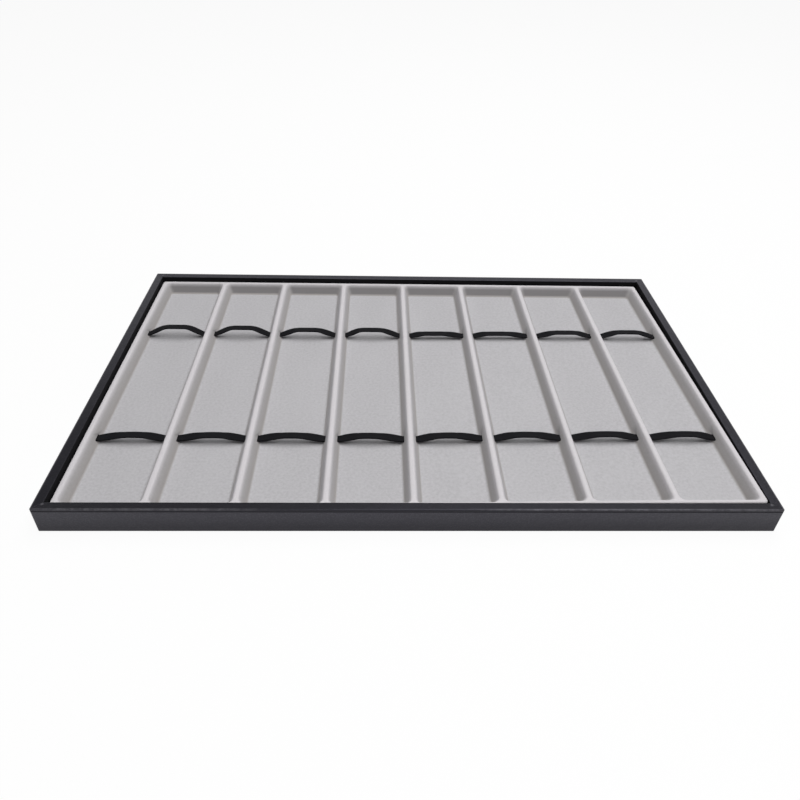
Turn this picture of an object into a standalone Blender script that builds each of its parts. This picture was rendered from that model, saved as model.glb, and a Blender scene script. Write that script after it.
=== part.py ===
"""Display tray for wrist watches, with eight long compartments and two elastic bands in each.

A low leatherette-wrapped rim stands on a thin board. One flocked, drafted insert drops into it.
Every band is threaded through two slits, low in its compartment's side walls.

Lengths are in metres. +X runs along the tray, -Y is its front and +Z is up.
The origin is the middle of the underside, on the surface that the tray rests on.
"""

import math

import bmesh
import bpy

# Overall size of the wrapped tray
TRAY_LENGTH = 0.430
TRAY_DEPTH = 0.280
TRAY_HEIGHT = 0.018
RIM_WIDTH = 0.006

# Working gap between neighbouring pieces
FIT_GAP = 0.0003

# Leatherette wrap
WRAP_THICKNESS = 0.0008
WRAP_EDGE_RADIUS = 0.0006
WRAP_TURN_IN = 0.010
WRAP_OUTER_CORNER = 0.0010
WRAP_INNER_CORNER = 0.0003

# Boards under and inside the wrap
PANEL_THICKNESS = 0.0030
PANEL_CORNER = 0.0006
RAIL_EDGE_CHAMFER = 0.0004
LINER_EDGE_GAP = 0.0006
LINER_CORNER = 0.0020

# Flocked insert
COMPARTMENT_COUNT = 8
SHEET_THICKNESS = 0.0010
INSERT_RIM_DROP = 0.0040
INSERT_SIDE_CLEARANCE = 0.0005
INSERT_CORNER = 0.0050
SIDE_LAND = 0.0034
END_LAND = 0.0026
DIVIDER_TOP = 0.0030
WALL_DRAFT = math.radians(24.0)
SKIRT_DRAFT = math.radians(2.0)
LIP_RADIUS = 0.0012
FOOT_RADIUS = 0.0014
LIP_CORNER = 0.0030
FLOOR_CORNER = 0.0018

# Elastic bands and the slits that hold them
BAND_WIDTH = 0.0050
BAND_THICKNESS = 0.0010
BAND_ROW_Y = {"front": -0.0680, "rear": 0.0580}
BAND_RISE = {"front": 0.0029, "rear": 0.0044}
BAND_CROWN_HALF = 0.0080
BAND_TAIL = 0.0030
BAND_TAIL_BEND = 0.0009
BAND_FOOT_BEND = 0.0040
BAND_CROWN_BEND = 0.0200
BAND_LEG_START = 0.0009
SLIT_SILL = 0.0018
SLIT_END_GAP = 0.0004
SLIT_STOP = 0.0010

# Facets on rounded forms
WRAP_STEPS = 3
CORNER_STEPS = 4
FORM_STEPS = 3
BEND_STEPS = 3
SHARP_ANGLE = math.radians(35.0)

# Heights that follow from the stack of boards and sheets
PANEL_BOTTOM = WRAP_THICKNESS + FIT_GAP
PANEL_TOP = PANEL_BOTTOM + PANEL_THICKNESS
SEAT_HEIGHT = PANEL_TOP + FIT_GAP
FLOOR_HEIGHT = SEAT_HEIGHT + SHEET_THICKNESS
INSERT_TOP = TRAY_HEIGHT - INSERT_RIM_DROP
SLIT_HEIGHT = BAND_THICKNESS + 2.0 * FIT_GAP
SLIT_MIDDLE = FLOOR_HEIGHT + SLIT_SILL + SLIT_HEIGHT / 2.0

# Plan sizes that follow from the rim and the clearances
INSERT_HALF_X = TRAY_LENGTH / 2.0 - RIM_WIDTH - INSERT_SIDE_CLEARANCE
INSERT_HALF_Y = TRAY_DEPTH / 2.0 - RIM_WIDTH - INSERT_SIDE_CLEARANCE
COMPARTMENT_PITCH = (2.0 * (INSERT_HALF_X - SIDE_LAND) + DIVIDER_TOP) / COMPARTMENT_COUNT
COMPARTMENT_HALF_X = (COMPARTMENT_PITCH - DIVIDER_TOP) / 2.0
COMPARTMENT_HALF_Y = INSERT_HALF_Y - END_LAND


def clear_scene():
    """Remove everything that the new scene starts with."""
    for item in list(bpy.data.objects):
        bpy.data.objects.remove(item, do_unlink=True)


def make_material(name, color, roughness, sheen=0.0):
    """Return a Principled material with the given look."""
    material = bpy.data.materials.new(name)
    material.use_nodes = True
    shader = material.node_tree.nodes["Principled BSDF"]
    shader.inputs["Base Color"].default_value = (*color, 1.0)
    shader.inputs["Roughness"].default_value = roughness
    shader.inputs["Metallic"].default_value = 0.0
    shader.inputs["Sheen Weight"].default_value = sheen
    material.diffuse_color = (*color, 1.0)
    return material


def add_piece(name, bm, material):
    """Turn a finished bmesh into a named object with outward faces and one material."""
    bmesh.ops.recalc_face_normals(bm, faces=bm.faces[:])
    mesh = bpy.data.meshes.new(name)
    bm.to_mesh(mesh)
    bm.free()
    mesh.materials.append(material)
    mesh.shade_smooth()
    mesh.set_sharp_from_angle(angle=SHARP_ANGLE)
    piece = bpy.data.objects.new(name, mesh)
    bpy.context.scene.collection.objects.link(piece)
    return piece


def rounded_loop(bm, half_x, half_y, radius, height, steps, centre_x=0.0):
    """Add the vertices of a level rounded rectangle, anticlockwise, and return them."""
    loop = []
    for corner, (side_x, side_y) in enumerate(((1, 1), (-1, 1), (-1, -1), (1, -1))):
        for step in range(steps + 1):
            angle = (corner + step / steps) * math.pi / 2.0
            x = centre_x + side_x * (half_x - radius) + radius * math.cos(angle)
            y = side_y * (half_y - radius) + radius * math.sin(angle)
            loop.append(bm.verts.new((x, y, height)))
    return loop


def bridge(bm, first, second):
    """Join two loops that have as many vertices with a band of quads."""
    count = len(first)
    for index in range(count):
        following = (index + 1) % count
        bm.faces.new((first[index], first[following], second[following], second[index]))


def arc_angles(start, end, steps):
    """Return evenly spaced angles from start to end, both included."""
    return [start + (end - start) * step / steps for step in range(steps + 1)]


def make_plate(name, half_x, half_y, corner, bottom, top, material):
    """Build a flat board or sheet with rounded plan corners."""
    bm = bmesh.new()
    lower = rounded_loop(bm, half_x, half_y, corner, bottom, WRAP_STEPS)
    upper = rounded_loop(bm, half_x, half_y, corner, top, WRAP_STEPS)
    bridge(bm, lower, upper)
    bm.faces.new(lower)
    bm.faces.new(upper)
    return add_piece(name, bm, material)


def wrap_section():
    """Return the wrap's closed section as (inset from the outside, height) points."""
    edge = WRAP_EDGE_RADIUS
    right_angle = math.pi / 2.0
    section = [(WRAP_TURN_IN, 0.0)]
    for angle in arc_angles(0.0, right_angle, FORM_STEPS):
        section.append((edge - edge * math.sin(angle), edge - edge * math.cos(angle)))
    for angle in arc_angles(right_angle, 0.0, FORM_STEPS):
        section.append((edge - edge * math.sin(angle), TRAY_HEIGHT - edge + edge * math.cos(angle)))
    for angle in arc_angles(0.0, right_angle, FORM_STEPS):
        inset = RIM_WIDTH - edge + edge * math.sin(angle)
        section.append((inset, TRAY_HEIGHT - edge + edge * math.cos(angle)))
    section.append((RIM_WIDTH, SEAT_HEIGHT))
    section.append((RIM_WIDTH - WRAP_THICKNESS, SEAT_HEIGHT))
    section.append((RIM_WIDTH - WRAP_THICKNESS, TRAY_HEIGHT - WRAP_THICKNESS))
    section.append((WRAP_THICKNESS, TRAY_HEIGHT - WRAP_THICKNESS))
    section.append((WRAP_THICKNESS, WRAP_THICKNESS))
    section.append((WRAP_TURN_IN, WRAP_THICKNESS))
    return section


def wrap_corner_radius(inset):
    """Return the wrap's plan corner radius at a distance in from the outside."""
    if inset <= WRAP_THICKNESS:
        return WRAP_OUTER_CORNER - inset
    return WRAP_INNER_CORNER + max(RIM_WIDTH - inset, 0.0)


def make_wrap(material):
    """Sweep the leatherette's section round the rim, turned in under the base."""
    bm = bmesh.new()
    loops = []
    for inset, height in wrap_section():
        half_x = TRAY_LENGTH / 2.0 - inset
        half_y = TRAY_DEPTH / 2.0 - inset
        radius = wrap_corner_radius(inset)
        loops.append(rounded_loop(bm, half_x, half_y, radius, height, WRAP_STEPS))
    for index, loop in enumerate(loops):
        bridge(bm, loop, loops[(index + 1) % len(loops)])
    return add_piece("leatherette_wrap", bm, material)


def make_rail(name, half_run, half_across, turn, material):
    """Build one mitred rail, with its outer face towards -Y before it is turned into place."""
    outer = WRAP_THICKNESS + FIT_GAP
    inner = RIM_WIDTH - WRAP_THICKNESS - FIT_GAP
    mitre_pull = FIT_GAP / math.sqrt(2.0)
    bottom = SEAT_HEIGHT
    top = TRAY_HEIGHT - WRAP_THICKNESS - FIT_GAP
    bm = bmesh.new()
    ends = []
    for side in (-1.0, 1.0):
        outer_x = side * (half_run - outer - mitre_pull)
        inner_x = side * (half_run - inner - mitre_pull)
        outer_y = outer - half_across
        inner_y = inner - half_across
        corners = ((outer_x, outer_y, bottom), (inner_x, inner_y, bottom),
                   (inner_x, inner_y, top), (outer_x, outer_y, top))
        ends.append([bm.verts.new(corner) for corner in corners])
    bridge(bm, ends[0], ends[1])
    bm.faces.new(ends[0])
    bm.faces.new(ends[1])
    rail = add_piece(name, bm, material)
    rail.rotation_euler = (0.0, 0.0, turn)
    chamfer = rail.modifiers.new("edge_chamfer", "BEVEL")
    chamfer.width = RAIL_EDGE_CHAMFER
    chamfer.segments = 1
    return rail


def compartment_profile(offset):
    """Return (inset, height, plan corner radius) down one wall, offset below the flocked face."""
    turn = math.pi / 2.0 - WALL_DRAFT
    lip_centre = -LIP_RADIUS * math.tan(turn / 2.0)
    foot_inset = (INSERT_TOP - FLOOR_HEIGHT) * math.tan(WALL_DRAFT)
    foot_centre = foot_inset + FOOT_RADIUS * math.tan(turn / 2.0)
    lip = LIP_RADIUS - offset
    foot = FOOT_RADIUS + offset
    profile = []
    for angle in arc_angles(0.0, turn, FORM_STEPS):
        height = INSERT_TOP - LIP_RADIUS + lip * math.cos(angle)
        corner = LIP_CORNER + offset * math.sin(angle)
        profile.append((lip_centre + lip * math.sin(angle), height, corner))
    for angle in arc_angles(turn, 0.0, FORM_STEPS):
        height = FLOOR_HEIGHT + FOOT_RADIUS - foot * math.cos(angle)
        corner = FLOOR_CORNER + offset * math.sin(angle)
        profile.append((foot_centre - foot * math.sin(angle), height, corner))
    return profile


def skirt_profile(offset):
    """Return (inset, height, plan corner radius) down the outer skirt, offset inside it."""
    turn = math.pi / 2.0 - SKIRT_DRAFT
    top_inset = (INSERT_TOP - SEAT_HEIGHT) * math.tan(SKIRT_DRAFT)
    centre = top_inset + LIP_RADIUS * math.tan(turn / 2.0)
    lip = LIP_RADIUS - offset
    profile = []
    for angle in arc_angles(0.0, turn, FORM_STEPS):
        height = INSERT_TOP - LIP_RADIUS + lip * math.cos(angle)
        inset = centre - lip * math.sin(angle)
        profile.append((inset, height, INSERT_CORNER - inset))
    hem_inset = offset / math.cos(SKIRT_DRAFT)
    profile.append((hem_inset, SEAT_HEIGHT, INSERT_CORNER - hem_inset))
    return profile


def loft(bm, profile, half_x, half_y, centre_x=0.0):
    """Skin rounded rectangles that are inset along a profile and return the loops."""
    loops = []
    for inset, height, corner in profile:
        loop = rounded_loop(bm, half_x - inset, half_y - inset, corner, height, CORNER_STEPS, centre_x)
        if loops:
            bridge(bm, loops[-1], loop)
        loops.append(loop)
    return loops


def loop_edges(bm, loop):
    """Return the edges round a loop, making any that no face has made yet."""
    edges = []
    for index, vertex in enumerate(loop):
        following = loop[(index + 1) % len(loop)]
        edges.append(bm.edges.get((vertex, following)) or bm.edges.new((vertex, following)))
    return edges


def compartment_centres():
    """Return the X positions of the compartments' middles, from left to right."""
    first = -COMPARTMENT_PITCH * (COMPARTMENT_COUNT - 1) / 2.0
    return [first + COMPARTMENT_PITCH * index for index in range(COMPARTMENT_COUNT)]


def formed_face(bm, offset):
    """Add one side of the formed sheet and return the loop at the bottom of its skirt."""
    skirt = loft(bm, skirt_profile(offset), INSERT_HALF_X, INSERT_HALF_Y)
    land_edges = loop_edges(bm, skirt[0])
    for centre_x in compartment_centres():
        wall = loft(bm, compartment_profile(offset), COMPARTMENT_HALF_X, COMPARTMENT_HALF_Y, centre_x)
        bm.faces.new(wall[-1])
        land_edges.extend(loop_edges(bm, wall[0]))
    bmesh.ops.triangle_fill(bm, edges=land_edges, use_beauty=True)
    return skirt[-1]


def make_slit_cutter():
    """Build the hidden bars that open both slits of every band."""
    bm = bmesh.new()
    half_x = COMPARTMENT_PITCH / 2.0 - SLIT_STOP
    half_y = BAND_WIDTH / 2.0 + SLIT_END_GAP
    size = (2.0 * half_x, 2.0 * half_y, SLIT_HEIGHT)
    for centre_x in compartment_centres():
        for row_y in BAND_ROW_Y.values():
            bar = bmesh.ops.create_cube(bm, size=1.0)["verts"]
            bmesh.ops.scale(bm, vec=size, verts=bar)
            bmesh.ops.translate(bm, vec=(centre_x, row_y, SLIT_MIDDLE), verts=bar)
    mesh = bpy.data.meshes.new("slit_cutter")
    bm.to_mesh(mesh)
    bm.free()
    cutter = bpy.data.objects.new("slit_cutter", mesh)
    cutter.hide_render = True
    cutter.display_type = "WIRE"
    bpy.context.scene.collection.objects.link(cutter)
    return cutter


def make_insert(material):
    """Build the one-piece formed insert with its hollow dividers, skirt and band slits."""
    bm = bmesh.new()
    face_hem = formed_face(bm, 0.0)
    under_hem = formed_face(bm, SHEET_THICKNESS)
    bridge(bm, face_hem, under_hem)
    insert = add_piece("flocked_insert", bm, material)
    slits = insert.modifiers.new("band_slits", "BOOLEAN")
    slits.operation = "DIFFERENCE"
    slits.solver = "EXACT"
    slits.object = make_slit_cutter()
    return insert


def fillet_path(corners):
    """Round the inner corners of an (x, z, radius) path and return its (x, z) points."""
    points = [corners[0][:2]]
    for before, corner, after in zip(corners, corners[1:], corners[2:]):
        heading_in = math.atan2(corner[1] - before[1], corner[0] - before[0])
        heading_out = math.atan2(after[1] - corner[1], after[0] - corner[0])
        turn = heading_out - heading_in
        side = math.copysign(1.0, turn)
        radius = corner[2]
        reach = radius * math.tan(abs(turn) / 2.0)
        start_x = corner[0] - reach * math.cos(heading_in)
        start_z = corner[1] - reach * math.sin(heading_in)
        centre_x = start_x - side * radius * math.sin(heading_in)
        centre_z = start_z + side * radius * math.cos(heading_in)
        for heading in arc_angles(heading_in, heading_out, BEND_STEPS):
            x = centre_x + side * radius * math.sin(heading)
            z = centre_z - side * radius * math.cos(heading)
            points.append((x, z))
    points.append(corners[-1][:2])
    return points


def band_path(rise):
    """Return a band's centre line from its left tail over the crown to its right tail."""
    face_x = COMPARTMENT_HALF_X - (INSERT_TOP - SLIT_MIDDLE) * math.tan(WALL_DRAFT)
    tail_set = (SHEET_THICKNESS + FIT_GAP + BAND_THICKNESS / 2.0) / math.cos(WALL_DRAFT)
    tail_foot = face_x + tail_set
    tail_end_x = tail_foot + BAND_TAIL * math.sin(WALL_DRAFT)
    tail_end_z = SLIT_MIDDLE + BAND_TAIL * math.cos(WALL_DRAFT)
    crown_z = SLIT_MIDDLE + rise
    right = (
        (BAND_CROWN_HALF, crown_z, BAND_CROWN_BEND),
        (face_x - BAND_LEG_START, SLIT_MIDDLE, BAND_FOOT_BEND),
        (tail_foot, SLIT_MIDDLE, BAND_TAIL_BEND),
        (tail_end_x, tail_end_z, 0.0),
    )
    left = tuple((-x, z, radius) for x, z, radius in reversed(right))
    return fillet_path(left + right)


def make_band(name, centre_x, row_y, rise, material):
    """Build one flat elastic band that follows the band path."""
    path = band_path(rise)
    half_width = BAND_WIDTH / 2.0
    half_thickness = BAND_THICKNESS / 2.0
    bm = bmesh.new()
    stations = []
    for index, (x, z) in enumerate(path):
        before = path[max(index - 1, 0)]
        after = path[min(index + 1, len(path) - 1)]
        heading = math.atan2(after[1] - before[1], after[0] - before[0])
        shift_x = -half_thickness * math.sin(heading)
        shift_z = half_thickness * math.cos(heading)
        stations.append([
            bm.verts.new((x - shift_x, -half_width, z - shift_z)),
            bm.verts.new((x - shift_x, half_width, z - shift_z)),
            bm.verts.new((x + shift_x, half_width, z + shift_z)),
            bm.verts.new((x + shift_x, -half_width, z + shift_z)),
        ])
    for first, second in zip(stations, stations[1:]):
        bridge(bm, first, second)
    bm.faces.new(stations[0])
    bm.faces.new(stations[-1])
    band = add_piece(name, bm, material)
    band.location = (centre_x, row_y, 0.0)
    return band


def build():
    """Build every piece of the tray in place."""
    clear_scene()
    leatherette = make_material("leatherette", (0.032, 0.031, 0.034), 0.45)
    fibreboard = make_material("fibreboard", (0.42, 0.30, 0.19), 0.85)
    felt = make_material("felt", (0.025, 0.025, 0.028), 0.95, 0.2)
    flock = make_material("flock", (0.50, 0.485, 0.50), 0.95, 0.5)
    elastic = make_material("elastic", (0.018, 0.018, 0.022), 0.75)

    half_length = TRAY_LENGTH / 2.0
    half_depth = TRAY_DEPTH / 2.0

    make_wrap(leatherette)
    make_rail("front_rail", half_length, half_depth, 0.0, fibreboard)
    make_rail("right_rail", half_depth, half_length, math.pi / 2.0, fibreboard)
    make_rail("rear_rail", half_length, half_depth, math.pi, fibreboard)
    make_rail("left_rail", half_depth, half_length, -math.pi / 2.0, fibreboard)

    panel_half_x = half_length - WRAP_THICKNESS - FIT_GAP
    panel_half_y = half_depth - WRAP_THICKNESS - FIT_GAP
    make_plate("base_panel", panel_half_x, panel_half_y, PANEL_CORNER, PANEL_BOTTOM, PANEL_TOP, fibreboard)

    liner_half_x = half_length - WRAP_TURN_IN - LINER_EDGE_GAP
    liner_half_y = half_depth - WRAP_TURN_IN - LINER_EDGE_GAP
    make_plate("underside_liner", liner_half_x, liner_half_y, LINER_CORNER, 0.0, WRAP_THICKNESS, felt)

    make_insert(flock)
    for row, row_y in BAND_ROW_Y.items():
        for number, centre_x in enumerate(compartment_centres(), start=1):
            make_band(f"elastic_band_{row}_{number}", centre_x, row_y, BAND_RISE[row], elastic)


build()
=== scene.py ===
"""Looks of the watch tray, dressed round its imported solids.

The black rim, the grey flocked insert, the elastic bands and the felt under the tray are modelled
here in detail. The rails and the base panel stay as they were packed and only get their finish.
Lengths are in metres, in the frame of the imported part: +X along the tray, -Y its front, +Z up.
"""

from __future__ import annotations

import logging
import math
from collections.abc import Callable, Sequence
from dataclasses import dataclass, field
from enum import Enum

import bmesh
import bpy
from mathutils import Matrix, Vector

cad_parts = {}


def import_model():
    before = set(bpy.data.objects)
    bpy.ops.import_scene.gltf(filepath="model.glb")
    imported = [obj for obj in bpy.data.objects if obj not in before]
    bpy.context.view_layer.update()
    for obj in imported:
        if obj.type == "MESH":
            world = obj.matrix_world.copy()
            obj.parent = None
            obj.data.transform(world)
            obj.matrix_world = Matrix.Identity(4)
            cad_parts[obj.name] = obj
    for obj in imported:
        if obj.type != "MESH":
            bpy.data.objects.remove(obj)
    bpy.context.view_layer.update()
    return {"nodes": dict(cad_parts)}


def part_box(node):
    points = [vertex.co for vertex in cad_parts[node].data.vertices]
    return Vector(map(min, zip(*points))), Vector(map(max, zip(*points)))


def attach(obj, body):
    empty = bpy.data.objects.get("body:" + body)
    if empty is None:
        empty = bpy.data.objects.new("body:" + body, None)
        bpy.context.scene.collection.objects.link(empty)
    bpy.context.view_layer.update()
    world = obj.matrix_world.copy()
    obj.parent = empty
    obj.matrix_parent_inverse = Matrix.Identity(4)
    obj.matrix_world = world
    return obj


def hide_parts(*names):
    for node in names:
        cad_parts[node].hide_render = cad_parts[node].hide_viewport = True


LOG = logging.getLogger("watch_tray")
MM = 0.001
TOUCH = 0.02 * MM
FULL_TURN = 2.0 * math.pi
FACES_UP = 0.9
STANDS = 0.1
SIDES = (-1.0, 1.0)
IMAGE_SIDE = 800.0
WHITE = (1.0, 1.0, 1.0, 1.0)
STEEPNESS = "steepness"
DEPTH = "depth"
Color = tuple[float, float, float]
Point = tuple[float, float]
Bend = tuple[float, float, float]
Sockets = dict[str | int, object]
Piece = bpy.types.Object
Edge = bmesh.types.BMEdge
Material = bpy.types.Material
Socket = bpy.types.NodeSocket


class Part(Enum):
    """The kinds of mesh element that a pick can select."""

    VERTEX = "VERT"
    EDGE = "EDGE"
    FACE = "FACE"


class Turn(Enum):
    """The two ways that a strip can bend, seen from the front of the tray."""

    UP = 1.0
    DOWN = -1.0


def in_mm(*numbers: float) -> tuple[float, ...]:
    """Return lengths given in millimetres."""
    return tuple(number * MM for number in numbers)


def unit(number: float) -> float:
    """Return a number held between 0 and 1."""
    return min(max(number, 0.0), 1.0)


def opaque(color: object) -> object:
    """Return a plain colour with its alpha, and a link as it is."""
    return (*color, 1.0) if isinstance(color, tuple) else color


class Signal:
    """A number in a material's graph that takes part in Python arithmetic."""

    def __init__(self, graph: NodeGraph, socket: Socket) -> None:
        """Wrap a graph's output socket that carries a number."""
        self.graph = graph
        self.socket = socket

    def __add__(self, other: Signal | float) -> Signal:
        """Return this plus other."""
        return self.graph.math("ADD", self, other)

    def __radd__(self, other: float) -> Signal:
        """Return other plus this."""
        return self.graph.math("ADD", other, self)

    def __sub__(self, other: Signal | float) -> Signal:
        """Return this minus other."""
        return self.graph.math("SUBTRACT", self, other)

    def __rsub__(self, other: float) -> Signal:
        """Return other minus this."""
        return self.graph.math("SUBTRACT", other, self)

    def __mul__(self, other: Signal | float) -> Signal:
        """Return this times other."""
        return self.graph.math("MULTIPLY", self, other)

    def size(self) -> Signal:
        """Return this without its sign."""
        return self.graph.math("ABSOLUTE", self)

    def root(self) -> Signal:
        """Return the square root of this."""
        return self.graph.math("SQRT", self)

    def ribs(self, pitch: float) -> Signal:
        """Return a row of ribs across this, as a wave from 0 to 1 of the given pitch."""
        return self.graph.math("SINE", self * (FULL_TURN / pitch)) * 0.5 + 0.5

    def fade(self, low: float, high: float) -> Signal:
        """Return a smooth step of this.

        Args:
            low: The value at which the step is 0.
            high: The value at which the step is 1.

        Returns:
            A number from 0 to 1.
        """
        ends = {"Value": self, "From Min": low, "From Max": high, "To Min": 0.0, "To Max": 1.0}
        return self.graph.signal(
            "ShaderNodeMapRange", ends, "Result", interpolation_type="SMOOTHSTEP"
        )


class NodeGraph:
    """The node graph of one material, or of the surroundings."""

    def __init__(self, tree: bpy.types.NodeTree, output: str) -> None:
        """Start an empty graph.

        Args:
            tree: The tree to fill.
            output: The type of its output node.
        """
        self.tree = tree
        self.tree.nodes.clear()
        self.output = self.add(output)

    def add(self, kind: str, sockets: Sockets | None = None, **settings: object) -> bpy.types.Node:
        """Add one node.

        Args:
            kind: The node's type.
            sockets: Values or links for its inputs, by name or number.
            settings: Its own settings, which are set first.

        Returns:
            The new node.
        """
        node = self.tree.nodes.new(kind)
        for name, value in settings.items():
            setattr(node, name, value)
        for key, value in (sockets or {}).items():
            link = value.socket if isinstance(value, Signal) else value
            if isinstance(link, Socket):
                self.tree.links.new(link, node.inputs[key])
            else:
                node.inputs[key].default_value = link
        return node

    def signal(
        self, kind: str, sockets: Sockets, output: str | int = 0, **settings: object
    ) -> Signal:
        """Add one node and return one of its outputs as a number."""
        return Signal(self, self.add(kind, sockets, **settings).outputs[output])

    def math(self, operation: str, *values: Signal | float) -> Signal:
        """Return the result of one Math node."""
        return self.signal("ShaderNodeMath", dict(enumerate(values)), operation=operation)

    def place(self) -> Socket:
        """Return the point being shaded, in the piece's own coordinates."""
        return self.add("ShaderNodeTexCoord").outputs["Object"]

    def axes(self) -> tuple[Signal, Signal, Signal]:
        """Return the X, Y and Z of the point being shaded."""
        split = self.add("ShaderNodeSeparateXYZ", {"Vector": self.place()})
        return tuple(Signal(self, split.outputs[axis]) for axis in "XYZ")

    def noise(self, grain: float, detail: float = 2.0, stretch: Color = (1.0, 1.0, 1.0)) -> Signal:
        """Return smooth noise.

        Args:
            grain: The size of a blotch, in metres.
            detail: How many finer layers it has.
            stretch: How much faster it changes along each axis.

        Returns:
            A number around 0.5.
        """
        mapping = self.add("ShaderNodeMapping", {"Vector": self.place(), "Scale": stretch})
        layers = {"Scale": 1.0 / grain, "Detail": detail, "Roughness": 0.55}
        return self.signal("ShaderNodeTexNoise", {"Vector": mapping.outputs[0], **layers})

    def attribute(self, name: str) -> Signal:
        """Return a number that is stored on the piece's points."""
        return self.signal("ShaderNodeAttribute", {}, "Fac", attribute_name=name)

    def cells(self, grain: float) -> Signal:
        """Return the distance to the middle of the nearest pebble, where one is grain across."""
        sockets = {"Vector": self.place(), "Scale": 1.0 / grain}
        return self.signal("ShaderNodeTexVoronoi", sockets, "Distance")

    def blend(self, mask: Signal, first: object, second: object) -> Socket:
        """Return a colour that goes from first to second as mask goes from 0 to 1."""
        sides = {0: mask, 6: opaque(first), 7: opaque(second)}
        return self.add("ShaderNodeMix", sides, data_type="RGBA").outputs[2]

    def bump(self, height: Signal, depth: float, strength: float) -> Socket:
        """Return a normal bent by a height, whose 0 and 1 are depth apart, at some strength."""
        sockets = {"Height": height, "Distance": depth, "Strength": strength}
        return self.add("ShaderNodeBump", sockets).outputs["Normal"]

    def seen(self) -> Signal:
        """Tell what is looked at from what only lights a surface.

        Returns:
            1 for what the camera, a gloss or a glass sees, and 0 for the rest.
        """
        path = self.add("ShaderNodeLightPath")
        kinds = ("Camera", "Glossy", "Transmission")
        camera, gloss, glass = (Signal(self, path.outputs[f"Is {kind} Ray"]) for kind in kinds)
        return self.math("MAXIMUM", self.math("MAXIMUM", camera, gloss), glass)

    def show(self, shader: bpy.types.Node) -> None:
        """Join a shader to the output."""
        self.tree.links.new(shader.outputs[0], self.output.inputs["Surface"])


class ShaderGraph(NodeGraph):
    """The node graph of one material."""

    def __init__(self, name: str, viewport: Color) -> None:
        """Start an empty material.

        Args:
            name: The material's name.
            viewport: Its plain colour in the viewport.
        """
        self.material = bpy.data.materials.new(name)
        self.material.use_nodes = True
        self.material.diffuse_color = (*viewport, 1.0)
        super().__init__(self.material.node_tree, "ShaderNodeOutputMaterial")

    def finish(self, sockets: Sockets) -> Material:
        """Close the graph with a Principled shader and return the finished material."""
        self.show(self.add("ShaderNodeBsdfPrincipled", sockets))
        return self.material


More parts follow.
